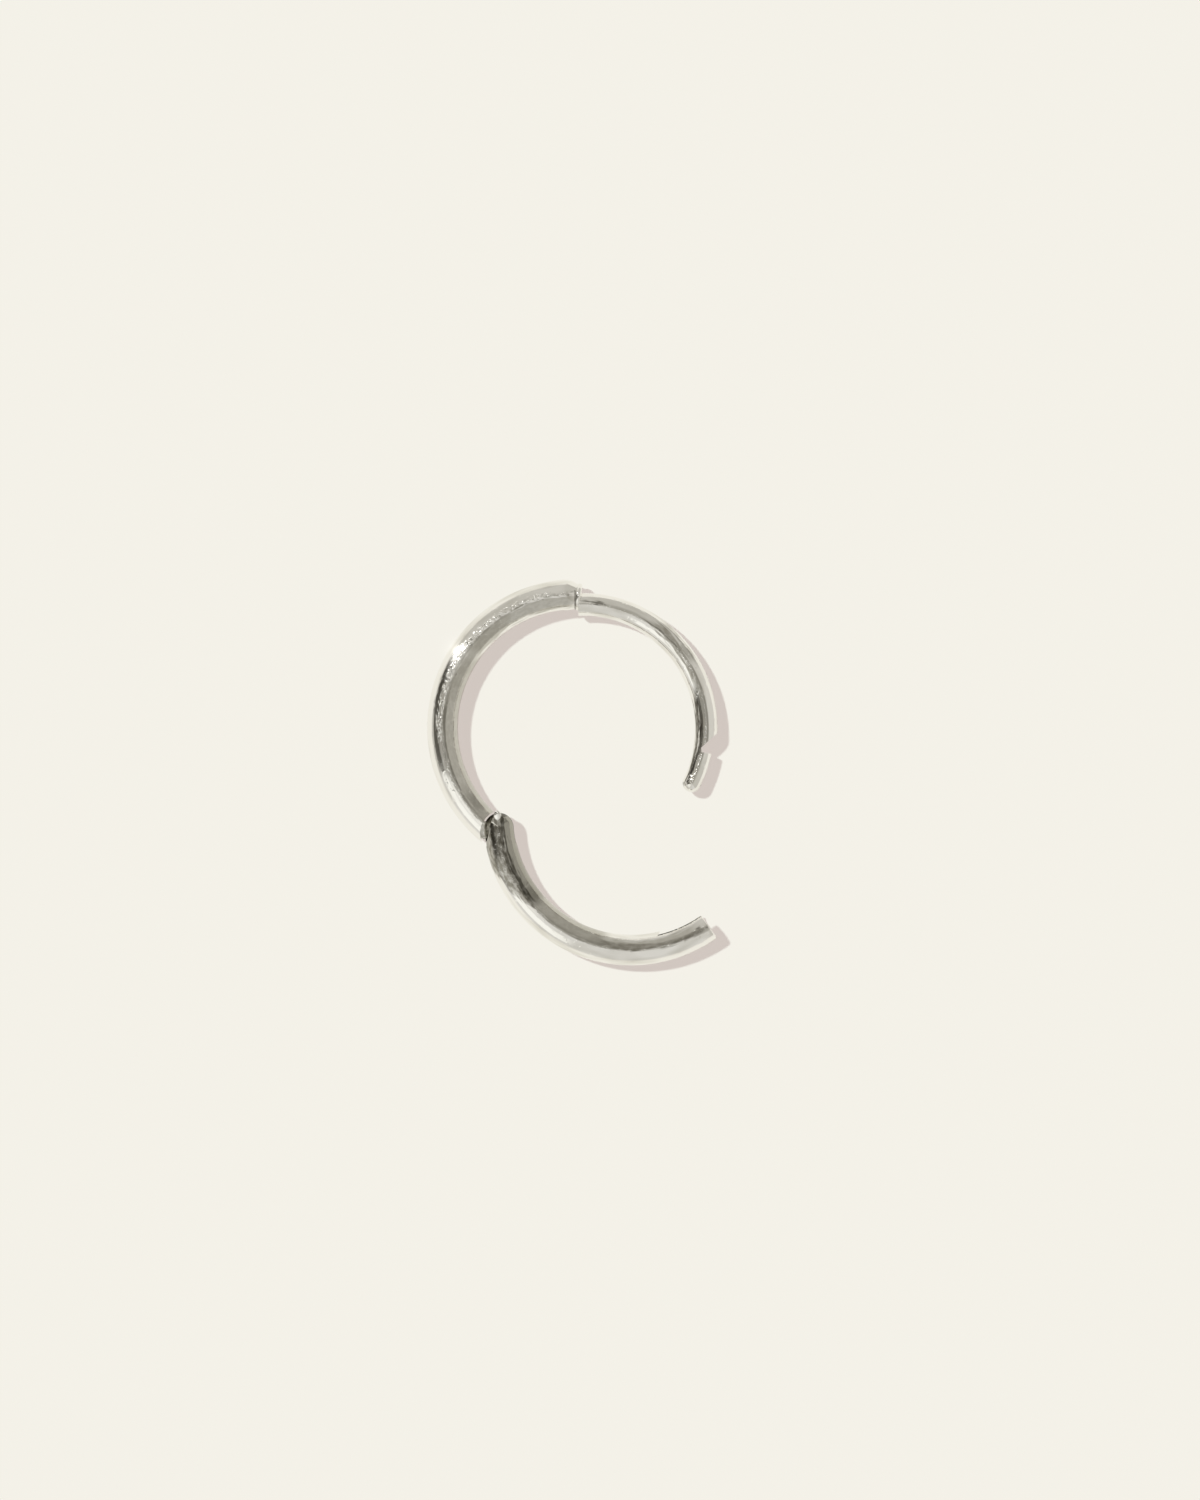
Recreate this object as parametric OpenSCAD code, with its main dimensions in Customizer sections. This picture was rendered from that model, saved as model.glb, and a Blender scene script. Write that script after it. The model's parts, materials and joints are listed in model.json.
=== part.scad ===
// Huggie earring lying open on a table: two hollow half hoops on a rivet, and a notched ear post.
// Millimetres. The hoop lies in the XY plane with its underside at z = 0. Angles run counterclockwise
// from +X about the front half's arc centre.

/* [Hoop] */
// Outside diameter of the shut hoop
hoop_od = 12.0; // [11.5:0.1:12.5]
// Outside diameter of the hoop's tube
tube_d = 1.25; // [1.2:0.05:1.3]
// Wall of the tube
wall = 0.11; // [0.1:0.01:0.12]

/* [Front half] */
// Angle where the front tube ends and its collar begins
collar_angle = 96; // [94:0.5:98]
// Length of the tapered collar
collar_length = 0.6; // [0.5:0.05:0.7]
// Diameter of the collar's end face
collar_end_d = 1.03; // [1.0:0.01:1.06]
// Direction in which the collar points
collar_heading = -7.8; // [-9:0.1:-6]
// Angle where the solid plug for the hinge begins in the front tube
front_plug_angle = 214; // [210:1:218]

/* [Ear post] */
// Diameter of the post
post_d = 0.92; // [0.88:0.01:0.94]
// Radius of the post's bend, to its centreline
post_bend_r = 5.02; // [5:0.01:5.04]
// Offset of the bend's centre from the hoop's centre, to the right
post_offset_x = 0.287; // [0.27:0.001:0.3]
// Offset of the bend's centre from the hoop's centre, downwards
post_offset_y = 0.045; // [0.03:0.005:0.06]
// Diameter of the post's tip beyond the notch
tip_d = 0.75; // [0.72:0.01:0.76]
// How far the tip's centreline lies inside the post's, which keeps their inner sides flush
tip_inset = 0.07; // [0.05:0.01:0.08]
// Angle of the notch's square step
step_angle = -12.2; // [-12.5:0.1:-11.5]
// Angle of the centre of the tip's round end
tip_end_angle = -26.5; // [-27:0.1:-26]
// Angle where the notch's ramp leaves the outside of the post
ramp_angle = -1.8; // [-2.2:0.1:-1.4]
// Distance of the notch's floor from the hoop's centre, at its deepest
notch_floor_r = 5.15; // [5.1:0.01:5.2]

/* [Back half] */
// Angle of the rounded hinge end, with the hoop shut
knuckle_angle = 234.5; // [234:0.1:235]
// Angle of the open mouth, with the hoop shut
mouth_angle = 355.4; // [355:0.1:356]
// Angle where the solid plug for the hinge ends in the back tube
back_plug_angle = 256; // [252:1:260]
// Offset of the back arc's centre from the front one's when shut, to the left
shut_offset_x = 0.06; // [0.05:0.01:0.07]
// Offset of the back arc's centre from the front one's when shut, upwards
shut_offset_y = 0.04; // [0.03:0.01:0.05]

/* [Hinge] */
// Distance of the rivet to the left of the hoop's centre
hinge_left = 2.85; // [2.82:0.01:2.88]
// Distance of the rivet below the hoop's centre
hinge_down = 4.30; // [4.28:0.01:4.32]
// Swing from shut to open
open_angle = 50; // [49:0.5:50]
// Diameter of the rivet
pin_d = 0.30; // [0.26:0.02:0.32]
// Radius of the tongue's eye and half its width
tongue_r = 0.36; // [0.32:0.01:0.38]
// Thickness of the tongue
tongue_t = 0.36; // [0.32:0.02:0.4]
// Direction of the tongue from the rivet to the front tube
tongue_heading = 170; // [165:1:175]
// Radius of the hollow in the front tube's end, about the rivet
socket_r = 0.99; // [0.98:0.005:1.0]
// Running clearance in the hinge
hinge_gap = 0.03; // [0.02:0.005:0.04]

/* [Hidden] */
$fn = 96;
tube_r = tube_d / 2;
bore_r = tube_r - wall;
ring_r = hoop_od / 2 - tube_r;
post_r = post_d / 2;
tip_r = tip_d / 2;
pin_r = pin_d / 2;
margin = 0.3;
past = 2 * tube_d;
collar_bend_r = 0.8;
seam = 0.003;
lap = 0.03;
silver = [0.80, 0.79, 0.77];
dark_silver = [0.62, 0.61, 0.58];

// Places in the plane, measured from the front arc's centre
hinge_at = [-hinge_left, -hinge_down];
shut_centre = [-shut_offset_x, shut_offset_y];
post_centre = [post_offset_x, -post_offset_y];
open_centre = hinge_at + turned(shut_centre - hinge_at, -open_angle);

// Bounding box of the open hoop, for an origin at the middle of its underside
mouth_corner_x = open_centre.x + hoop_od / 2 * cos(mouth_angle - open_angle);
box_right = max(post_centre.x + post_bend_r + post_r, mouth_corner_x);
box_left = -hoop_od / 2;
box_top = ring_r * sin(collar_angle) + tube_r;
box_bottom = open_centre.y - hoop_od / 2;

// Angles by which one bar starts inside the next, or a cut runs past the bar's end
collar_lap_angle = 4;
bore_start_angle = collar_angle + 2;
tip_lap_angle = 1;
mouth_lap_angle = 1;
knuckle_lap_angle = 1;
knuckle_reach_angle = 10;
// The front tube is drawn past the hinge, and is cut back to the hinge there
front_far_angle = 250;
// The post's start lies inside the collar, just behind its end face
post_start_angle = 92;
// The notch: its ramp's foot lies before the step, and its floor rises a little towards the step
ramp_foot_angle = step_angle + 3;
step_face_angle = step_angle - 0.1;
floor_rise = 0.08;
// The entry slot lets the swinging tip into the mouth: it ends on a circle about the rivet
slot_side_gap = 0.04;
slot_height = tip_d + slot_side_gap;
slot_start_angle = mouth_angle - 40;
tip_bend_r = post_bend_r - tip_inset;
tip_end = post_centre + tip_bend_r * heading(tip_end_angle);
entry_r = norm(tip_end - hinge_at) - tip_r - slot_side_gap;
// The saw cut for the tongue, and the rivet's crowned ends
saw_t = tongue_t + 2 * hinge_gap;
saw_depth = tongue_r + 2 * hinge_gap;
knuckle_heading = atan2(shut_centre.y - hinge_at.y, shut_centre.x - hinge_at.x) + 90;
hinge_offset = ring_r - norm(shut_centre - hinge_at);
cheek_z = sqrt(pow(tube_r, 2) - pow(hinge_offset, 2));
crown_r = 0.3;
crown_rise = 0.02;
crown_z = cheek_z + crown_rise;
crown_edge_z = crown_z - crown_r + sqrt(pow(crown_r, 2) - pow(pin_r, 2));

function heading(a) = [cos(a), sin(a)];
function turned(v, a) = [v.x * cos(a) - v.y * sin(a), v.x * sin(a) + v.y * cos(a)];

// Puts a shape drawn about the front arc's centre, at mid height, where the earring lies
module laid() {
    translate([-(box_left + box_right) / 2, -(box_bottom + box_top) / 2, tube_r]) children();
}

// Turns a shape drawn in the shut position to the open one
module opened() {
    translate(hinge_at) rotate([0, 0, -open_angle]) translate(-hinge_at) children();
}

// A round bar bent to an arc of radius bend_r about the origin
module bent_bar(bend_r, bar_r, from, to) {
    rotate([0, 0, from]) rotate_extrude(angle = to - from) translate([bend_r, 0]) circle(bar_r);
}

// Round end for a bar along z, a hair thinner than the bar and starting a little way inside it
module round_end(bar_r) {
    end_r = bar_r - seam;
    rotate_extrude() {
        intersection() {
            circle(end_r);
            square(end_r);
        }
        translate([0, -lap]) square([end_r, lap]);
    }
}

// Tapered collar at the top of the front tube: a short tighter bend, then a cone. Each starts a little way
// inside the piece before it and is a hair thinner, so that no two faces coincide.
module collar() {
    bend_r = tube_r - seam;
    translate((ring_r - collar_bend_r) * heading(collar_angle)) {
        bent_bar(collar_bend_r, bend_r, collar_heading + 90, collar_angle + collar_lap_angle);
        translate(collar_bend_r * heading(collar_heading + 90))
            rotate([0, 0, collar_heading]) rotate([0, 90, 0]) translate([0, 0, -lap])
                cylinder(r1 = bend_r - seam, r2 = collar_end_d / 2, h = collar_length + lap);
    }
}

// Bent wire with a hooked notch and a thinner round tip
module ear_post() {
    difference() {
        translate(post_centre) bent_bar(post_bend_r, post_r, step_angle, post_start_angle);
        linear_extrude(past, center = true) notch_outline();
    }
    translate(post_centre) {
        bent_bar(tip_bend_r, tip_r, tip_end_angle, step_angle + tip_lap_angle);
        translate(tip_bend_r * heading(tip_end_angle)) rotate([0, 0, tip_end_angle]) rotate([90, 0, 0])
            round_end(tip_r);
    }
}

// The part of the post that is filed away: a long ramp down to the floor, and a square step
module notch_outline() {
    outside_r = hoop_od / 2;
    ramp_top = (post_bend_r + post_r) * heading(ramp_angle) + post_centre;
    ramp_foot = notch_floor_r * heading(ramp_foot_angle);
    step_foot = (notch_floor_r + floor_rise) * heading(step_face_angle);
    polygon([ramp_top, ramp_foot, step_foot, outside_r * heading(step_face_angle),
        (outside_r + margin) * heading(ramp_angle)]);
}

// Flat tongue with an eye for the rivet, left standing in the front tube's hollow end
module tongue() {
    translate(hinge_at) linear_extrude(tongue_t, center = true) {
        circle(tongue_r);
        rotate([0, 0, tongue_heading]) translate([0, -tongue_r]) square([socket_r + lap, 2 * tongue_r]);
    }
}

module front_half() {
    color(silver) laid() difference() {
        union() {
            difference() {
                bent_bar(ring_r, tube_r, collar_angle, front_far_angle);
                bent_bar(ring_r, bore_r, bore_start_angle, front_plug_angle);
                translate(hinge_at) cylinder(r = socket_r, h = past, center = true);
                translate(hinge_at) rotate([0, 0, tongue_heading + 90]) translate([-margin, 0, -past / 2])
                    cube([2 * past, 2 * past, past]);
            }
            collar();
            ear_post();
            tongue();
        }
        translate(hinge_at) cylinder(r = pin_r + hinge_gap, h = past, center = true);
    }
}

// The back tube in the shut position, with its mouth bored and its hinge end solid
module back_tube() {
    difference() {
        union() {
            bent_bar(ring_r, tube_r, knuckle_angle, mouth_angle);
            intersection() {
                bent_bar(ring_r, tube_r, knuckle_angle - knuckle_reach_angle,
                    knuckle_angle + knuckle_lap_angle);
                translate(ring_r * heading(knuckle_angle)) cylinder(r = tube_r, h = past, center = true);
            }
        }
        bent_bar(ring_r, bore_r, back_plug_angle, mouth_angle + mouth_lap_angle);
    }
}

// Slot on the inner side of the back tube, from the mouth to a circle about the rivet
module entry_slot() {
    difference() {
        translate(shut_centre) rotate([0, 0, slot_start_angle])
            rotate_extrude(angle = mouth_angle + mouth_lap_angle - slot_start_angle)
                translate([ring_r - tube_r - margin, -slot_height / 2])
                    square([tube_r + margin, slot_height]);
        translate(hinge_at) cylinder(r = entry_r, h = past, center = true);
    }
}

// Saw cut across the hinge end, which leaves two cheeks
module saw_cut() {
    translate(hinge_at) rotate([0, 0, knuckle_heading]) translate([-saw_depth, -past, -saw_t / 2])
        cube([past + saw_depth, 2 * past, saw_t]);
}

module back_half() {
    color(silver) laid() opened() difference() {
        translate(shut_centre) back_tube();
        entry_slot();
        saw_cut();
        translate(hinge_at) cylinder(r = pin_r, h = past, center = true);
    }
}

// Rivet with crowned ends
module hinge_pin() {
    color(dark_silver) laid() translate(hinge_at) {
        cylinder(r = pin_r, h = 2 * crown_edge_z, center = true);
        for (side = [-1, 1]) intersection() {
            cylinder(r = pin_r, h = past, center = true);
            translate([0, 0, side * (crown_z - crown_r)]) sphere(crown_r);
        }
    }
}

front_half();
back_half();
hinge_pin();
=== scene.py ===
import json
import math

import bpy
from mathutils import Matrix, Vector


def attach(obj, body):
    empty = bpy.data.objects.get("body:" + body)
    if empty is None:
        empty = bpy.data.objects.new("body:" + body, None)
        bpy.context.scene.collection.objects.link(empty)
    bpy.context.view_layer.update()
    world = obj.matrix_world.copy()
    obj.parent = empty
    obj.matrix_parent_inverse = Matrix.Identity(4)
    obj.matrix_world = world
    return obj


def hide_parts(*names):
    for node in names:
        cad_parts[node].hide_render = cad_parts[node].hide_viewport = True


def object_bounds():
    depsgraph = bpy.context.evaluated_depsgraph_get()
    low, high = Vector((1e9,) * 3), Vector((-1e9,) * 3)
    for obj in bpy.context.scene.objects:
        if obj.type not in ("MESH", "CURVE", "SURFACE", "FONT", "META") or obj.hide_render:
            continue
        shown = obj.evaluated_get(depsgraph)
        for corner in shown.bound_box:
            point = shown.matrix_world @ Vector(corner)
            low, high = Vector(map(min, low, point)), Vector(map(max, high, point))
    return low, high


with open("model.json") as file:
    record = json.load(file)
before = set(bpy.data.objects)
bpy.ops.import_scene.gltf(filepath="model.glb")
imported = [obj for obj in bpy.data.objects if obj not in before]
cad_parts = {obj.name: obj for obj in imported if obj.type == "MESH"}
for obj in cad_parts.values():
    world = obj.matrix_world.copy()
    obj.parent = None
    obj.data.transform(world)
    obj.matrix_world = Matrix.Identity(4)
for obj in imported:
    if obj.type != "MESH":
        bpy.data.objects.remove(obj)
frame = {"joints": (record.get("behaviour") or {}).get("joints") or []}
cad_low, cad_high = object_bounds()

# Table top: a smooth matt off-white board, painted in one even coat. It fills the whole view, and
# nothing marks it but the earring's shadow.


def srgb(hex_colour):
    parts = [int(hex_colour[i:i + 2], 16) / 255 for i in (0, 2, 4)]
    return [c / 12.92 if c <= 0.04045 else ((c + 0.055) / 1.055) ** 2.4 for c in parts] + [1.0]


def add_node(tree, kind, settings=(), values=(), links=()):
    made = tree.nodes.new(kind)
    for name, value in dict(settings).items():
        setattr(made, name, value)
    for socket, value in dict(values).items():
        made.inputs[socket].default_value = value
    for socket, source in dict(links).items():
        tree.links.new(source, made.inputs[socket])
    return made


def new_material(name):
    material = bpy.data.materials.new(name)
    material.use_nodes = True
    material.node_tree.nodes.clear()
    return material, material.node_tree


BOARD_SIZE = 3.0
BOARD_PAINT, BOARD_ROUGHNESS = "E4E6DE", 0.9
bpy.ops.object.select_all(action="DESELECT")
bpy.ops.mesh.primitive_plane_add(size=BOARD_SIZE, location=(0, 0, 0))
board = bpy.context.object
board.name = "table_top"
painted_board, tree = new_material("matt painted board")
coat = add_node(tree, "ShaderNodeBsdfPrincipled",
                values={"Base Color": srgb(BOARD_PAINT), "Roughness": BOARD_ROUGHNESS,
                        "Specular IOR Level": 0.0})
add_node(tree, "ShaderNodeOutputMaterial", links={"Surface": coat.outputs["BSDF"]})
board.data.materials.append(painted_board)

# Studio light: one small bright lamp at the upper left, which throws the crisp shadow, and a soft panel
# overhead, in a room of pale walls, one big window and a dark doorway. Polished silver shows that room
# as its streaks, and the lamp's glass in it as a bright spot.
LAMP_AZIMUTH, LAMP_ELEVATION = 148.5, 53.5
LAMP_POWER, LAMP_COLOUR, LAMP_WIDTH = 1.524, "F1FFFD", 3.5
PANEL_POWER, PANEL_COLOUR = 2.211, "FFF1F1"


def add_lamp(name, power, colour):
    """A lamp that lights the board and isn't mirrored: the silver mirrors the room below instead."""
    data = bpy.data.lights.new(name, "SUN")
    data.energy = power
    data.color = srgb(colour)[:3]
    made = bpy.data.objects.new(name, data)
    bpy.context.scene.collection.objects.link(made)
    made.visible_glossy = False
    return made


lamp = add_lamp("lamp", LAMP_POWER, LAMP_COLOUR)
lamp.data.angle = math.radians(LAMP_WIDTH)
lamp.rotation_euler = (0, math.radians(90 - LAMP_ELEVATION), math.radians(LAMP_AZIMUTH))
panel = add_lamp("overhead panel", PANEL_POWER, PANEL_COLOUR)
panel.data.use_shadow = False

# Azimuths are counted about a point just south of straight overhead, so that the walls' corners meet there
# and not on the ridge of the tube, which mirrors what is straight overhead.
CORNER_SHIFT = 0.015
room = bpy.data.worlds.new("studio room")
bpy.context.scene.world = room
room.use_nodes = True
tree = room.node_tree
tree.nodes.clear()
outward = add_node(tree, "ShaderNodeTexCoord").outputs["Generated"]
axes = add_node(tree, "ShaderNodeSeparateXYZ", links={0: outward}).outputs
northward = add_node(tree, "ShaderNodeMath", {"operation": "ADD"}, {1: CORNER_SHIFT},
                     {0: axes["Y"]}).outputs[0]
turn = add_node(tree, "ShaderNodeMath", {"operation": "ARCTAN2"},
                links={0: northward, 1: axes["X"]}).outputs[0]
azimuth = add_node(tree, "ShaderNodeMath", {"operation": "DEGREES"}, links={0: turn}).outputs[0]
rise = add_node(tree, "ShaderNodeMath", {"operation": "ARCSINE"}, links={0: axes["Z"]}).outputs[0]
elevation = add_node(tree, "ShaderNodeMath", {"operation": "DEGREES"}, links={0: rise}).outputs[0]


def lay_patch(tree, behind, colour, first, between, second, limits, soft, patchy=None):
    """Lays one colour over what is behind it, where two measures are each between two limits."""
    cover = patchy
    for measure, (low, high), edge in ((first, between, soft[0]), (second, limits, soft[1])):
        middle, half = (low + high) / 2, (high - low) / 2
        off = add_node(tree, "ShaderNodeMath", {"operation": "SUBTRACT"}, {1: middle}, {0: measure})
        off = add_node(tree, "ShaderNodeMath", {"operation": "WRAP"}, {1: -180, 2: 180}, {0: off.outputs[0]})
        off = add_node(tree, "ShaderNodeMath", {"operation": "ABSOLUTE"}, links={0: off.outputs[0]})
        inside = add_node(tree, "ShaderNodeMapRange", {"interpolation_type": "SMOOTHSTEP"},
                          {1: half - edge, 2: half + edge, 3: 1.0, 4: 0.0}, {0: off.outputs[0]}).outputs[0]
        if cover:
            inside = add_node(tree, "ShaderNodeMath", {"operation": "MULTIPLY"},
                              links={0: cover, 1: inside}).outputs[0]
        cover = inside
    return add_node(tree, "ShaderNodeMix", {"data_type": "RGBA"}, {7: srgb(colour)},
                    {0: cover, 6: behind}).outputs[2]


CEILING = "ABA8A0"
ceiling = add_node(tree, "ShaderNodeRGB")
ceiling.outputs[0].default_value = srgb(CEILING)
seen = ceiling.outputs[0]
# Colour, azimuths, elevations and how soft the edges are, in degrees
for colour, azimuths, elevations, soft in (
        ("C9C6BF", (84, 156), (-90, 78), 8),       # north wall
        ("BFBCB4", (44, 88), (-90, 62), 8),        # north-east wall
        ("D3D0C9", (-16, 46), (-90, 68), 7),       # east wall
        ("A8A59D", (33, 43), (-5, 60), 4),         # post between the two
        ("C6C3BB", (284, 346), (-90, 76), 7),      # curtain, south east
        ("DAD8D3", (198, 303), (-90, 86), 3),      # south wall
        ("FFFEF8", (198, 244), (24, 60), 3),       # big soft window in it
        ("F4F2EC", (198, 226), (64, 89), 3),       # skylight over it
        ("C4C1B9", (150, 197), (-90, 20), 4),      # pale step below the doorway
        ("4F4C46", (151, 172), (15, 42), 4),       # dark west doorway, its north side
        ("5A5750", (166, 196), (23, 58), 4),       # and its south side
        ("98958D", (168, 198), (62, 78), 4),       # pale lintel above it
        ("7D7A72", (160, 200), (79, 91), 3),       # shaded ceiling over it
        ("8E8B83", (-8, 34), (66, 91), 4),         # dark beam across the ceiling
        ("EFECE4", (86, 359), (-90, 7), 4)):       # white sweep at the table's edge
    seen = lay_patch(tree, seen, colour, azimuth, azimuths, elevation, elevations, (soft, soft))
walls = add_node(tree, "ShaderNodeBackground", values={"Strength": 1.0}, links={"Color": seen})

GLASS_AZIMUTHS, GLASS_ELEVATIONS, GLASS_EDGES = (145.7, 146.9), (14, 89), (1.0, 5)
GLASS_BRIGHTNESS = 12.0
dark = add_node(tree, "ShaderNodeRGB")
dark.outputs[0].default_value = srgb("000000")
glass = lay_patch(tree, dark.outputs[0], "FFFFFF", azimuth, GLASS_AZIMUTHS, elevation, GLASS_ELEVATIONS,
                  GLASS_EDGES)
lamp_glass = add_node(tree, "ShaderNodeBackground",
                      values={"Color": srgb("FFFFFF"), "Strength": GLASS_BRIGHTNESS})
mirrored = add_node(tree, "ShaderNodeMixShader",
                    links={0: glass, 1: walls.outputs[0], 2: lamp_glass.outputs[0]})

# Only the silver mirrors the room. The matt board gets a weak even fill, and past its edge the camera
# sees its colour. The room is no lamp, so no light samples are drawn from it.
FILL_COLOUR, FILL_BRIGHTNESS = "FFF1F1", 0.118
PAST_THE_BOARD = "F4F1E8"
fill = add_node(tree, "ShaderNodeBackground",
                values={"Color": srgb(FILL_COLOUR), "Strength": FILL_BRIGHTNESS})
plain = add_node(tree, "ShaderNodeBackground", values={"Color": srgb(PAST_THE_BOARD), "Strength": 1.0})
ray = add_node(tree, "ShaderNodeLightPath").outputs
lit = add_node(tree, "ShaderNodeMixShader",
               links={0: ray["Diffuse Depth"], 1: mirrored.outputs[0], 2: fill.outputs[0]})
around = add_node(tree, "ShaderNodeMixShader",
                  links={0: ray["Is Camera Ray"], 1: lit.outputs[0], 2: plain.outputs[0]})
add_node(tree, "ShaderNodeOutputWorld", links={"Surface": around.outputs[0]})
room.cycles.sampling_method = "NONE"
bpy.context.scene.view_settings.view_transform = "Standard"

# Camera: straight above the table, with a long lens, as the photograph was taken. Its lens blooms a
# little round the lamp's reflection.
VIEW_HEIGHT, VIEW_CENTRE = 0.06073, (0.001117, 0.000919)
BLOOM_FROM, BLOOM_STRENGTH, BLOOM_SIZE, BRIGHTEST = 1.2, 2.6, 0.02, 20.0
camera_data = bpy.data.cameras.new("camera")
camera_data.lens = 100
camera_data.sensor_width = 36
camera_data.clip_start = 0.01
camera = bpy.data.objects.new("camera", camera_data)
bpy.context.scene.collection.objects.link(camera)
bpy.context.scene.camera = camera
tube_height = cad_high.z / 2
camera.location = (VIEW_CENTRE[0], VIEW_CENTRE[1],
                   tube_height + VIEW_HEIGHT * camera_data.lens / camera_data.sensor_width)

bpy.context.scene.use_nodes = True
lens_tree = bpy.context.scene.node_tree
lens_tree.nodes.clear()
picture = add_node(lens_tree, "CompositorNodeRLayers").outputs["Image"]
bloom = add_node(lens_tree, "CompositorNodeGlare", {"glare_type": "BLOOM", "quality": "HIGH"},
                 {"Threshold": BLOOM_FROM, "Strength": BLOOM_STRENGTH, "Size": BLOOM_SIZE, "Clamp": True,
                  "Maximum": BRIGHTEST}, {"Image": picture}).outputs[0]
add_node(lens_tree, "CompositorNodeComposite", links={"Image": bloom})

# Front half: a round tube bent to a little over a third of the hoop. At its top it tapers to a shouldered
# collar, which the ear post is soldered into. Its other end wraps round the hinge, and a flat tongue with
# an eye for the rivet is soldered in there. Every piece is drawn in millimetres about the hoop's centre.
MM = 1000.0
HOOP_R, TUBE_R = 5.375, 0.625
HINGE = (-2.85, -4.30)
hinge_joint = frame["joints"][0]
hinge_x, hinge_y, hinge_z = [metres * MM for metres in hinge_joint["pos_m"]]
front_centre = (hinge_x - HINGE[0], hinge_y - HINGE[1], hinge_z)


# Sterling silver: 925 parts silver, buffed to a mirror on a wheel along the wire. It takes a slightly warm
# grey from the room. The wheel leaves it a little wavy, with fine lines along the tube that are drawn
# coarser than they are so that they show, and with patches of fine grain that flash under the lamp.
POLISHED, POLISHED_GRAIN_MM = (0.07, 0.15), 0.034
BRIGHT_SILVER, CLOUDED_SILVER = "F7F6F2", "DAD8D0"
# Each pattern's size across the wire, along it and upright, in millimetres, and its detail
SILVER_PATTERNS = (("lines", (0.09, 1.7, 0.09), 2), ("ripple", (0.55, 1.3, 0.55), 1),
                   ("clouds", (0.5, 2.2, 0.5), 2), ("grain", (0.12, 0.14, 0.12), 0),
                   ("patches", (0.15, 0.3, 0.15), 2), ("ragged", (0.11, 0.9, 0.11), 2))
LINE_DEPTH_MM, RIPPLE_DEPTH_MM = 0.0018, 0.008
# The noise values between which each comes in
FEW_PATCHES, MANY_PATCHES, EVEN_PATCHES = (0.56, 0.7), (0.42, 0.56), (0.4, 0.6)
WORN_LINES, CLOUDS = (0.38, 0.68), (0.5, 0.78)
FAINT_GRAIN, SPARKLE_EDGES, RAGGED_EDGE = 0.165, (0.08, 4), 0.6


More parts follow.
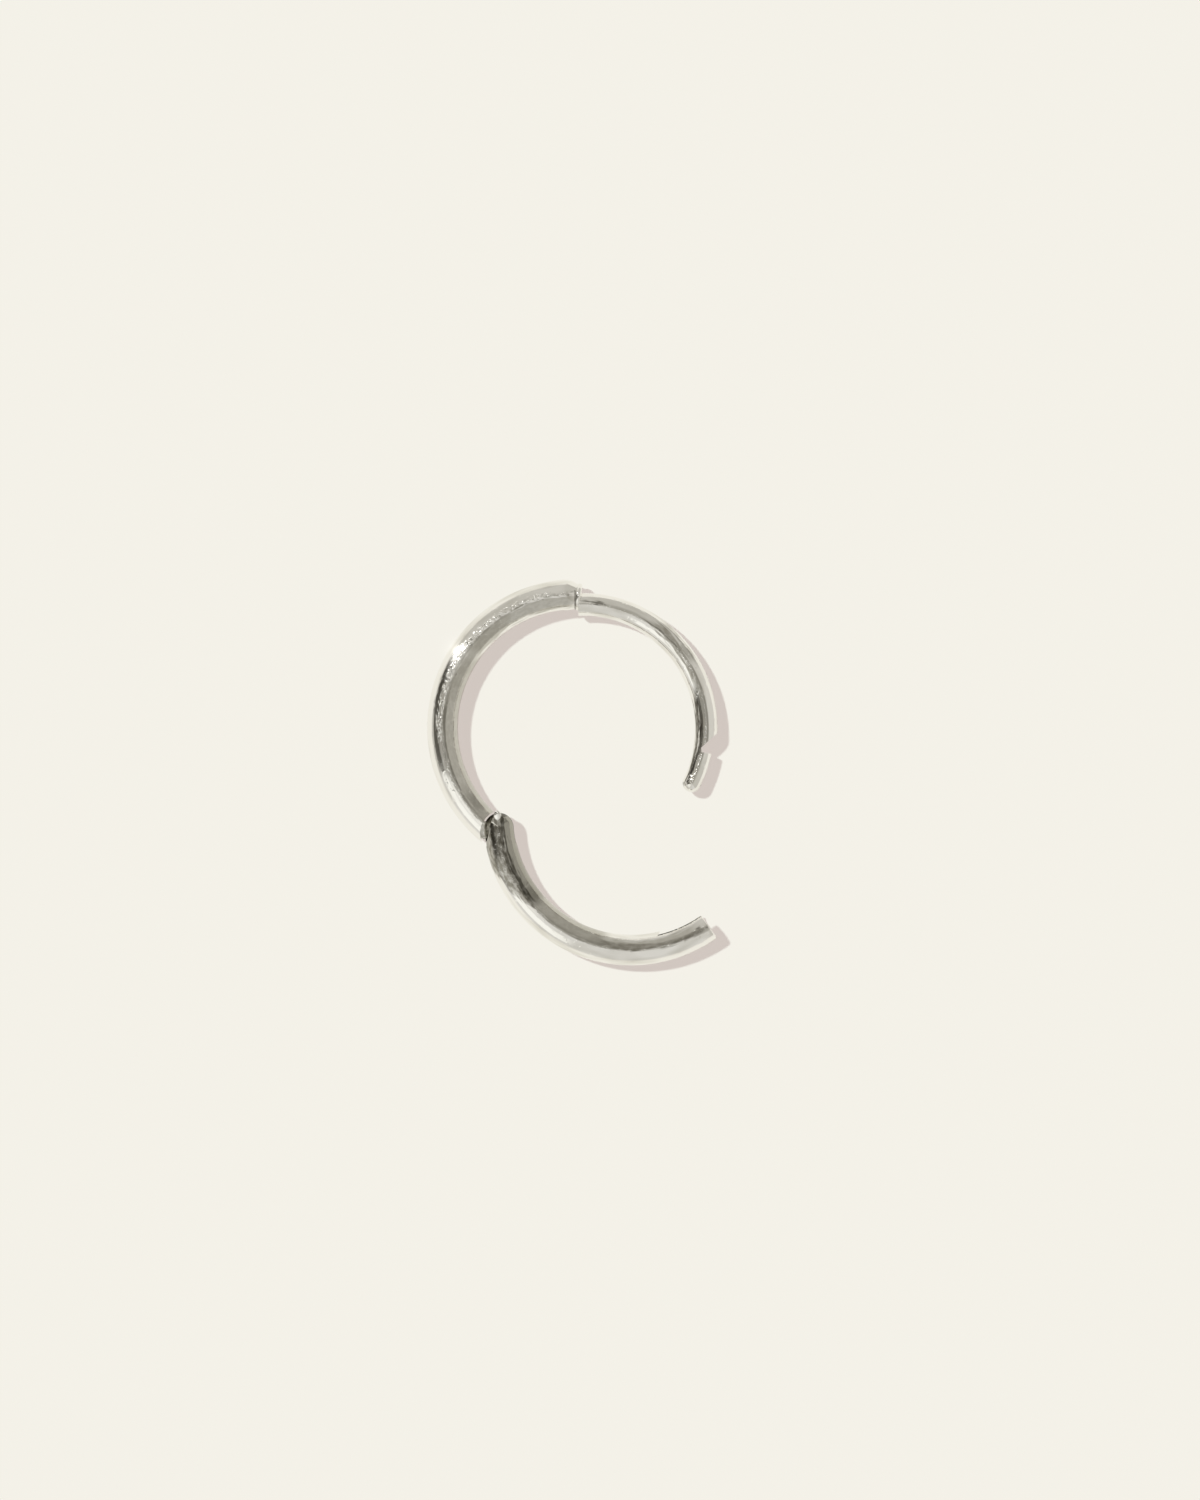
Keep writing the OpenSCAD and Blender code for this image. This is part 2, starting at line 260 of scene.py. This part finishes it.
def silver_material(name, centre, middle_turn, marks=(), sparkling=(), roughness=POLISHED,
                    grain_depth_mm=POLISHED_GRAIN_MM):
    """Silver tube bent about a centre, with marks on it and sparkling places. Most marks are painted shade
    and painted reflections.

    A mark is its colour, sides, angles, how soft its edges are across and along the tube, how far its sides
    drift with each degree, and how patchy it is. A sparkling place is its sides, angles and the strength of
    its grain, as a grey. A side is -1 on the inside of the bend and 1 on its outside. An angle is counted
    counterclockwise from middle_turn.
    """
    material, tree = new_material(name)
    place = add_node(tree, "ShaderNodeTexCoord").outputs["Object"]
    centred = add_node(tree, "ShaderNodeMapping", {"vector_type": "TEXTURE"},
                       {"Location": [c / MM for c in centre], "Rotation": (0, 0, math.radians(middle_turn)),
                        "Scale": (1 / MM, 1 / MM, 1 / MM)}, {"Vector": place}).outputs[0]
    x, y, z = add_node(tree, "ShaderNodeSeparateXYZ", links={0: centred}).outputs
    level = add_node(tree, "ShaderNodeCombineXYZ", links={0: x, 1: y}).outputs[0]
    out = add_node(tree, "ShaderNodeVectorMath", {"operation": "LENGTH"}, links={0: level}).outputs["Value"]
    side = add_node(tree, "ShaderNodeMapRange", {"clamp": False},
                    {1: HOOP_R - TUBE_R, 2: HOOP_R + TUBE_R, 3: -1.0, 4: 1.0}, {0: out}).outputs[0]
    turned = add_node(tree, "ShaderNodeMath", {"operation": "ARCTAN2"}, links={0: y, 1: x}).outputs[0]
    degrees = add_node(tree, "ShaderNodeMath", {"operation": "DEGREES"}, links={0: turned}).outputs[0]
    along = add_node(tree, "ShaderNodeMath", {"operation": "MULTIPLY"}, {1: HOOP_R}, {0: turned}).outputs[0]
    wrapped = add_node(tree, "ShaderNodeCombineXYZ", links={0: out, 1: along, 2: z}).outputs[0]
    pattern = {}
    for kind, sizes_mm, detail in SILVER_PATTERNS:
        spread = add_node(tree, "ShaderNodeVectorMath", {"operation": "DIVIDE"}, {1: sizes_mm},
                          {0: wrapped}).outputs[0]
        pattern[kind] = add_node(tree, "ShaderNodeTexNoise", values={"Scale": 1.0, "Detail": detail},
                                 links={"Vector": spread}).outputs["Fac"]

    grainy = add_node(tree, "ShaderNodeMapRange",
                      values={1: FEW_PATCHES[0], 2: FEW_PATCHES[1], 4: FAINT_GRAIN},
                      links={0: pattern["patches"]}).outputs[0]
    islands = add_node(tree, "ShaderNodeMapRange", values={1: MANY_PATCHES[0], 2: MANY_PATCHES[1]},
                       links={0: pattern["patches"]}).outputs[0]
    for sides, angles, strength in sparkling:
        grainy = lay_patch(tree, grainy, strength, side, sides, degrees, angles, SPARKLE_EDGES, islands)
    grain = add_node(tree, "ShaderNodeMath", {"operation": "MULTIPLY"},
                     links={0: pattern["grain"], 1: grainy}).outputs[0]
    height = add_node(tree, "ShaderNodeMath", {"operation": "MULTIPLY"}, {1: grain_depth_mm},
                      {0: grain}).outputs[0]
    for kind, depth_mm in (("lines", LINE_DEPTH_MM), ("ripple", RIPPLE_DEPTH_MM)):
        height = add_node(tree, "ShaderNodeMath", {"operation": "MULTIPLY_ADD"}, {1: depth_mm},
                          {0: pattern[kind], 2: height}).outputs[0]
    relief = add_node(tree, "ShaderNodeBump", values={"Strength": 1.0, "Distance": 1 / MM},
                      links={"Height": height}).outputs[0]
    worn = add_node(tree, "ShaderNodeMapRange",
                    values={1: WORN_LINES[0], 2: WORN_LINES[1], 3: roughness[0], 4: roughness[1]},
                    links={0: pattern["lines"]}).outputs[0]

    cloudy = add_node(tree, "ShaderNodeMapRange", values={1: CLOUDS[0], 2: CLOUDS[1]},
                      links={0: pattern["clouds"]}).outputs[0]
    colour = add_node(tree, "ShaderNodeMix", {"data_type": "RGBA"},
                      {6: srgb(BRIGHT_SILVER), 7: srgb(CLOUDED_SILVER)}, {0: cloudy}).outputs[2]
    torn = add_node(tree, "ShaderNodeMath", {"operation": "MULTIPLY_ADD"}, {1: RAGGED_EDGE},
                    {0: pattern["ragged"], 2: side}).outputs[0]
    for mark_colour, sides, angles, soft, drift, patchy in marks:
        across = add_node(tree, "ShaderNodeMath", {"operation": "MULTIPLY_ADD"}, {1: -drift},
                          {0: degrees, 2: torn}).outputs[0]
        blotches = add_node(tree, "ShaderNodeMapRange",
                            values={1: EVEN_PATCHES[0], 2: EVEN_PATCHES[1], 3: 1.0, 4: 1.0 - patchy},
                            links={0: pattern["patches"]}).outputs[0]
        torn_sides = [limit + RAGGED_EDGE / 2 for limit in sides]
        colour = lay_patch(tree, colour, mark_colour, across, torn_sides, degrees, angles, soft, blotches)
    metal = add_node(tree, "ShaderNodeBsdfPrincipled", values={"Metallic": 1.0},
                     links={"Base Color": colour, "Normal": relief, "Roughness": worn})
    add_node(tree, "ShaderNodeOutputMaterial", links={"Surface": metal.outputs["BSDF"]})
    return material


def heading(degrees, length=1.0):
    return (length * math.cos(math.radians(degrees)), length * math.sin(math.radians(degrees)))


def beside(point, degrees, length):
    x, y = heading(degrees, length)
    return (point[0] + x, point[1] + y)


def pick(piece):
    bpy.ops.object.select_all(action="DESELECT")
    bpy.context.view_layer.objects.active = piece
    piece.select_set(True)


AROUND = 96


def wire_ring(radius, centre, at, bend_r):
    """A circle standing across the bend at an angle, as a new mesh, left selected in edit mode."""
    bpy.ops.object.select_all(action="DESELECT")
    bpy.ops.mesh.primitive_circle_add(vertices=AROUND, radius=radius,
                                      location=(*beside(centre, at, bend_r), 0),
                                      rotation=(math.pi / 2, 0, math.radians(at)))
    bpy.ops.object.transform_apply(location=True, rotation=True, scale=True)
    bpy.ops.object.mode_set(mode="EDIT")
    bpy.ops.mesh.select_all(action="SELECT")
    return bpy.context.object


def bend_on(centre, degrees):
    """Carries the selected ring on round an upright axis, one step for each degree."""
    bpy.ops.mesh.spin(steps=max(1, round(abs(degrees))), angle=math.radians(degrees),
                      center=(centre[0], centre[1], 0), axis=(0, 0, -1))


def draw_on(start, degrees, stations, radius):
    """Carries the selected ring straight on, through rows of its distance, radius and upright radius."""
    way = heading(degrees)
    reached, wide, high = 0.0, radius, radius
    for distance, new_wide, new_high in stations:
        step = distance - reached
        bpy.ops.mesh.extrude_region_move(TRANSFORM_OT_translate={"value": (way[0] * step, way[1] * step, 0)})
        bpy.ops.transform.resize(value=(new_wide / wide, new_wide / wide, new_high / high),
                                 center_override=(*beside(start, degrees, distance), 0))
        reached, wide, high = distance, new_wide, new_high


MERGE_BELOW = 0.0005


def close_ends():
    """Caps every open ring, turns the faces outwards and leaves edit mode."""
    bpy.ops.mesh.select_all(action="SELECT")
    bpy.ops.mesh.remove_doubles(threshold=MERGE_BELOW)
    bpy.ops.mesh.select_all(action="DESELECT")
    bpy.ops.mesh.select_non_manifold(extend=False)
    bpy.ops.mesh.edge_face_add()
    bpy.ops.mesh.select_all(action="SELECT")
    bpy.ops.mesh.normals_make_consistent(inside=False)
    bpy.ops.object.mode_set(mode="OBJECT")


def cut(body, tool, operation="DIFFERENCE"):
    """Takes the tool away from the body, joins the two or keeps what they share, and removes the tool."""
    change = body.modifiers.new("cut", "BOOLEAN")
    change.operation, change.object, change.solver = operation, tool, "EXACT"
    pick(body)
    bpy.ops.object.modifier_apply(modifier=change.name)
    bpy.data.objects.remove(tool)


THROUGH = 2.5


def drill(x, y, radius, depth=THROUGH, sides=AROUND):
    """An upright cylinder at mid height of the tube."""
    bpy.ops.object.select_all(action="DESELECT")
    bpy.ops.mesh.primitive_cylinder_add(vertices=sides, radius=radius, depth=depth, location=(x, y, 0))
    bpy.ops.object.transform_apply(location=True, rotation=True, scale=True)
    return bpy.context.object


def block(x, y, size, turn):
    """A box with its middle at a place, turned about the upright axis."""
    bpy.ops.object.select_all(action="DESELECT")
    bpy.ops.mesh.primitive_cube_add(size=1, location=(x, y, 0), rotation=(0, 0, math.radians(turn)),
                                    scale=size)
    bpy.ops.object.transform_apply(location=True, rotation=True, scale=True)
    return bpy.context.object


SMOOTH_BELOW = 32


def finish_piece(piece, name, material, node, body):
    """Puts a piece that was drawn in millimetres about the hoop's centre where the node is."""
    piece.name = piece.data.name = name
    pick(piece)
    piece.location = [c / MM for c in front_centre]
    piece.scale = (1 / MM,) * 3
    bpy.ops.object.transform_apply(location=True, rotation=True, scale=True)
    bpy.ops.object.shade_smooth_by_angle(angle=math.radians(SMOOTH_BELOW))
    piece.data.materials.clear()
    piece.data.materials.append(material)
    # The board is evenly lit right up to the metal, so the metal throws no glow on it
    piece.visible_diffuse = False
    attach(piece, body)
    if node:
        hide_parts(node)


COLLAR_AT, COLLAR_BEND_R, COLLAR_HEADING = 96.0, 0.8, -7.8
SHOULDER_LENGTH, SHOULDER_STEPS, SHOULDER_CURVE, GROOVE_R = 0.4, 8, 1.7, 0.515
LIP_AT, LIP_R, LIP_MIDDLE_R, LIP_FROM, LIP_STEP = 0.50, 0.10, 0.455, 143, 13
FRONT_FAR_AT, SOCKET_R = 250, 0.99
front = wire_ring(TUBE_R, (0, 0), FRONT_FAR_AT, HOOP_R)
bend_on((0, 0), COLLAR_AT - FRONT_FAR_AT)
elbow = heading(COLLAR_AT, HOOP_R - COLLAR_BEND_R)
bend_on(elbow, COLLAR_HEADING + 90 - COLLAR_AT)
stations = []
for step in range(1, SHOULDER_STEPS + 1):
    part = step / SHOULDER_STEPS
    radius = TUBE_R - (TUBE_R - GROOVE_R) * part ** SHOULDER_CURVE
    stations.append((SHOULDER_LENGTH * part, radius, radius))
for degrees in range(LIP_FROM, -1, -LIP_STEP):
    distance, radius = heading(degrees, LIP_R)
    stations.append((LIP_AT + distance, LIP_MIDDLE_R + radius, LIP_MIDDLE_R + radius))
draw_on(beside(elbow, COLLAR_HEADING + 90, COLLAR_BEND_R), COLLAR_HEADING, stations, TUBE_R)
close_ends()

# The post: bent wire, with a notch that is filed in three flat cuts and a thinner round tip
POST_R, POST_BEND_R, POST_CENTRE, POST_FROM = 0.46, 5.02, (0.287, -0.045), 92
STEP_AT, TIP_END_AT, TIP_LAP = -12.2, -26.5, 1
TIP_R, TIP_BEND_R, TIP_STEPS = 0.375, 4.95, 12
RAMP_AT, RAMP_FOOT_AT, STEP_FACE_AT = -1.8, STEP_AT + 3, STEP_AT - 0.1
FLOOR_R, FLOOR_RISE = 5.15, 0.08
NOTCH_BLOCK = (2.4, 2.4, 2.0)
post = wire_ring(POST_R, POST_CENTRE, POST_FROM, POST_BEND_R)
bend_on(POST_CENTRE, STEP_AT - POST_FROM)
close_ends()

ramp_top = beside(POST_CENTRE, RAMP_AT, POST_BEND_R + POST_R)
ramp_foot = heading(RAMP_FOOT_AT, FLOOR_R)
step_foot = heading(STEP_FACE_AT, FLOOR_R + FLOOR_RISE)
step_top = heading(STEP_FACE_AT, HOOP_R + TUBE_R)
notch = block(*ramp_foot, NOTCH_BLOCK, 0)
bpy.ops.object.mode_set(mode="EDIT")
for start, end in ((ramp_top, ramp_foot), (ramp_foot, step_foot), (step_foot, step_top)):
    bpy.ops.mesh.select_all(action="SELECT")
    bpy.ops.mesh.bisect(plane_co=(*start, 0), plane_no=(end[1] - start[1], start[0] - end[0], 0),
                        use_fill=True, clear_outer=True)
bpy.ops.object.mode_set(mode="OBJECT")
cut(post, notch)

tip = wire_ring(TIP_R, POST_CENTRE, STEP_AT + TIP_LAP, TIP_BEND_R)
bend_on(POST_CENTRE, TIP_END_AT - STEP_AT - TIP_LAP)
rounding = [heading(90 * step / TIP_STEPS, TIP_R) for step in range(1, TIP_STEPS)]
draw_on(beside(POST_CENTRE, TIP_END_AT, TIP_BEND_R), TIP_END_AT - 90,
        [(distance, radius, radius) for radius, distance in rounding], TIP_R)
close_ends()
cut(post, tip, "UNION")

# The hinge end: hollowed round the rivet and cut off, before the post and the tongue are soldered on
HINGE_GAP, PIN_R, PIN_SIDES = 0.03, 0.15, 64
TONGUE_R, TONGUE_T, TONGUE_HEADING, TONGUE_LAP = 0.36, 0.36, 170, 0.03
WASTE = 5
cut(front, drill(*HINGE, SOCKET_R))
cut(front, block(*beside(HINGE, TONGUE_HEADING + 180, WASTE / 2), (WASTE, WASTE, WASTE), TONGUE_HEADING))
cut(front, post, "UNION")
tongue = drill(*HINGE, TONGUE_R, TONGUE_T, PIN_SIDES)
reach = SOCKET_R + TONGUE_LAP
strip = block(*beside(HINGE, TONGUE_HEADING, reach / 2), (reach, 2 * TONGUE_R, TONGUE_T), TONGUE_HEADING)
cut(tongue, strip, "UNION")
cut(tongue, drill(*HINGE, PIN_R + HINGE_GAP))
cut(front, tongue, "UNION")

FRONT_MIDDLE = 110
front_painted_shade_and_marks = (
    # Painted shade: the side towards the ear is darkened, as it mirrors the shaded board and the dimmer room
    ("C2C0B8", (-0.84, -0.07), (-19, 34), (0.09, 3), 0, 0.15),
    ("C2C0B8", (-1.60, -0.07), (34, 152), (0.09, 5), 0, 0.15),
    # A dark streak on the post beside the collar, and painted dark reflections in streaks along the post
    ("85827A", (-0.53, -0.37), (-34, -23), (0.05, 2), 0, 0.3),
    ("A3A097", (-0.46, -0.28), (-90, -52), (0.05, 4), 0, 0.3),
    # Painted shade in the groove behind the collar's lip
    ("85827A", (-1.00, 0.20), (-20.4, -19.6), (0.2, 0.3), 0, 0.3),
    # Painted reflection: grey streaks along the middle of the post, paler than the ones beside them
    ("B5B2A9", (-0.24, 0.0), (-76, -58), (0.05, 4), 0, 0.3),
    ("C9C7C0", (0.18, 0.36), (-82, -60), (0.05, 4), 0, 0.3),
    # Painted dark reflection along the inside edge near its tip
    ("6F6C64", (-0.76, -0.56), (-138, -96), (0.04, 3), 0, 0.2))
# Both sides of the lamp's reflection, and the post's tip
front_sparkling = (((0.0, 0.35), (-9, 33), "FFFFFF"), ((0.0, 0.35), (39, 74), "FFFFFF"),
                   ((-0.62, -0.20), (-138, -106), "6E6E6E"))
front_silver = silver_material("mirror-polished sterling silver, front", front_centre, FRONT_MIDDLE,
                               front_painted_shade_and_marks, front_sparkling)
finish_piece(front, "polished_front_half", front_silver, "front_half", "front")

# Back half: the same round tube, open at its mouth, and plugged, rounded and sawn into two cheeks at the
# hinge. It is drawn shut, where its arc completes the hoop, and then swung open about the rivet.
KNUCKLE_AT, MOUTH_AT, PLUG_AT = 234.5, 355.4, 256.0
SHUT_CENTRE, WALL = (-0.06, 0.04), 0.11
MOUTH_ROUNDING, MOUTH_STEPS = 0.05, 4
KNUCKLE_CROWN, KNUCKLE_STEPS = 2.3, 14
narrow_r = TUBE_R - MOUTH_ROUNDING
back = wire_ring(narrow_r, SHUT_CENTRE, MOUTH_AT, HOOP_R)
rounding = [heading(90 - 90 * step / MOUTH_STEPS, MOUTH_ROUNDING) for step in range(1, MOUTH_STEPS + 1)]
draw_on(beside(SHUT_CENTRE, MOUTH_AT, HOOP_R), MOUTH_AT - 90,
        [(MOUTH_ROUNDING - left, narrow_r + out, narrow_r + out) for out, left in rounding], narrow_r)
bend_on(SHUT_CENTRE, KNUCKLE_AT - MOUTH_AT + math.degrees(MOUTH_ROUNDING / HOOP_R))
rounding = [heading(90 * step / KNUCKLE_STEPS, 1) for step in range(1, KNUCKLE_STEPS)]
draw_on(beside(SHUT_CENTRE, KNUCKLE_AT, HOOP_R), KNUCKLE_AT - 90,
        [(TUBE_R * far, TUBE_R * wide, TUBE_R * (1 - far ** KNUCKLE_CROWN) ** (1 / KNUCKLE_CROWN))
         for wide, far in rounding], TUBE_R)
close_ends()

# The bore, a little flared at the mouth by the burnisher that took off its burr
FLARE, PAST_THE_MOUTH = 0.035, 0.2
bore_r = TUBE_R - WALL
flare_from = MOUTH_AT - math.degrees(FLARE / HOOP_R)
bore = wire_ring(bore_r, SHUT_CENTRE, PLUG_AT, HOOP_R)
bend_on(SHUT_CENTRE, flare_from - PLUG_AT)
draw_on(beside(SHUT_CENTRE, flare_from, HOOP_R), MOUTH_AT + 90,
        [(distance, bore_r + FLARE, bore_r + FLARE) for distance in (FLARE * 1.1, PAST_THE_MOUTH)], bore_r)
close_ends()
cut(back, bore)

# The slot that lets the swinging tip of the post into the mouth ends on a circle about the rivet
SLOT_GAP, SLOT_MARGIN, SLOT_AT, SLOT_ARC = 0.04, 0.3, MOUTH_AT - 40, 45
SLOT_DRILL_DEPTH, SLOT_DRILL_SIDES = 4, 256
slot_width = TUBE_R + SLOT_MARGIN
tip_end = beside(POST_CENTRE, TIP_END_AT, TIP_BEND_R)
entry_r = math.dist(tip_end, HINGE) - TIP_R - SLOT_GAP
bpy.ops.object.select_all(action="DESELECT")
bpy.ops.mesh.primitive_plane_add(size=1, location=(*beside(SHUT_CENTRE, SLOT_AT, HOOP_R - slot_width / 2), 0),
                                 rotation=(math.pi / 2, 0, math.radians(SLOT_AT)))
slot_tool = bpy.context.object
slot_tool.scale = (slot_width, 2 * TIP_R + SLOT_GAP, 1)
bpy.ops.object.transform_apply(location=True, rotation=True, scale=True)
bpy.ops.object.mode_set(mode="EDIT")
bpy.ops.mesh.select_all(action="SELECT")
bend_on(SHUT_CENTRE, SLOT_ARC)
close_ends()
cut(slot_tool, drill(*HINGE, entry_r, SLOT_DRILL_DEPTH, SLOT_DRILL_SIDES))
cut(back, slot_tool)

saw_t, saw_depth = TONGUE_T + 2 * HINGE_GAP, TONGUE_R + 2 * HINGE_GAP
saw_heading = math.degrees(math.atan2(SHUT_CENTRE[1] - HINGE[1], SHUT_CENTRE[0] - HINGE[0])) + 90
cut(back, block(*beside(HINGE, saw_heading, WASTE / 2 - saw_depth), (WASTE, WASTE, saw_t), saw_heading))
cut(back, drill(*HINGE, PIN_R))

opening = math.radians(-hinge_joint["range_deg"][1])


def swung(x, y):
    """Where a point of the shut hoop lies once the back half is open."""
    right, up = x - HINGE[0], y - HINGE[1]
    return (HINGE[0] + right * math.cos(opening) - up * math.sin(opening),
            HINGE[1] + right * math.sin(opening) + up * math.cos(opening))


def swing_open(piece):
    pick(piece)
    piece.location = (*swung(0, 0), 0)
    piece.rotation_euler = (0, 0, opening)
    bpy.ops.object.transform_apply(location=True, rotation=True, scale=True)


swing_open(back)
BACK_MIDDLE = 240
open_x, open_y = swung(*SHUT_CENTRE)
open_centre = (front_centre[0] + open_x, front_centre[1] + open_y, front_centre[2])
back_painted_shade_and_marks = (
    # Painted dark reflection round the knuckle
    ("8F8C83", (-3.60, -0.78), (-80, -16), (0.08, 4), -0.045, 0.45),
    # Painted shade: the side towards the ear is darkened, as it mirrors the shaded board and the dimmer room
    ("C2C0B8", (-1.60, -0.07), (-18, 18), (0.09, 4), 0, 0.15),
    ("A8A69D", (-1.60, -0.42), (-80, -18), (0.05, 3), 0, 0.1),
    ("CFCDC5", (-0.60, -0.07), (18, 60), (0.09, 5), 0, 0.15),
    # Painted dark reflection in a streak along the top, and a small dark spot on it near the mouth
    ("A09D94", (-0.58, -0.24), (14, 64), (0.08, 5), 0.006, 0.3),
    ("77746B", (-0.36, -0.20), (60.0, 62.0), (0.06, 0.8), 0, 0.3),
    # Painted darker reflection along the edge of the patch round the knuckle
    ("5C5A52", (-0.44, -0.20), (-80, -20), (0.05, 4), 0, 0.25))
back_silver = silver_material("mirror-polished sterling silver, back", open_centre, BACK_MIDDLE, back_painted_shade_and_marks)
finish_piece(back, "polished_back_half", back_silver, "back_half", "back")

# Solder bead: a drop of silver solder that was left on the end of the knuckle and filed nearly flat. The
# file leaves it a little duller than the tube, and it slopes so that it shows the bright window.
BEAD_AT, BEAD_SIZE, BEAD_SLOPES = (-3.15, -3.56, 0.57), (0.145, 0.195, 0.05), (9, -11)
FILED, FILED_GRAIN_MM = (0.15, 0.24), 0.008
bpy.ops.object.select_all(action="DESELECT")
bpy.ops.mesh.primitive_uv_sphere_add(segments=48, ring_count=24, radius=1, location=BEAD_AT, scale=BEAD_SIZE,
                                     rotation=(*[math.radians(slope) for slope in BEAD_SLOPES], 0))
bead = bpy.context.object
bpy.ops.object.transform_apply(location=True, rotation=True, scale=True)
filed_silver = silver_material("filed silver solder", open_centre, BACK_MIDDLE, roughness=FILED,
                               grain_depth_mm=FILED_GRAIN_MM)
finish_piece(bead, "solder_bead", filed_silver, None, "back")

# Rivet: a short silver wire through the two cheeks and the tongue, hammered tight and filed down with the
# knuckle, so that its ends stand only a hair proud of the tube. Filing leaves them duller than the tube,
# with the back half's painted dark reflection round the knuckle, and its other marks, over them.
PIN_LENGTH, PIN_PROUD, FILED_RIM = 1.4, 0.014, 0.018
SKIN_FROM, SKIN_ARC = KNUCKLE_AT - 8, 20
HAMMERED_AND_FILED = (0.14, 0.3)
rivet = drill(*HINGE, PIN_R, PIN_LENGTH, PIN_SIDES)
skin = wire_ring(TUBE_R + PIN_PROUD, SHUT_CENTRE, SKIN_FROM, HOOP_R)
bend_on(SHUT_CENTRE, SKIN_ARC)
close_ends()
cut(rivet, skin, "INTERSECT")
swing_open(rivet)
softened = rivet.modifiers.new("filed rim", "BEVEL")
softened.width, softened.segments, softened.limit_method = FILED_RIM, 3, "ANGLE"
softened.angle_limit = math.radians(40)
bpy.ops.object.modifier_apply(modifier=softened.name)
pin_silver = silver_material("filed and polished sterling silver", open_centre, BACK_MIDDLE, back_painted_shade_and_marks,
                             roughness=HAMMERED_AND_FILED)
finish_piece(rivet, "filed_rivet", pin_silver, "hinge_pin", "back")
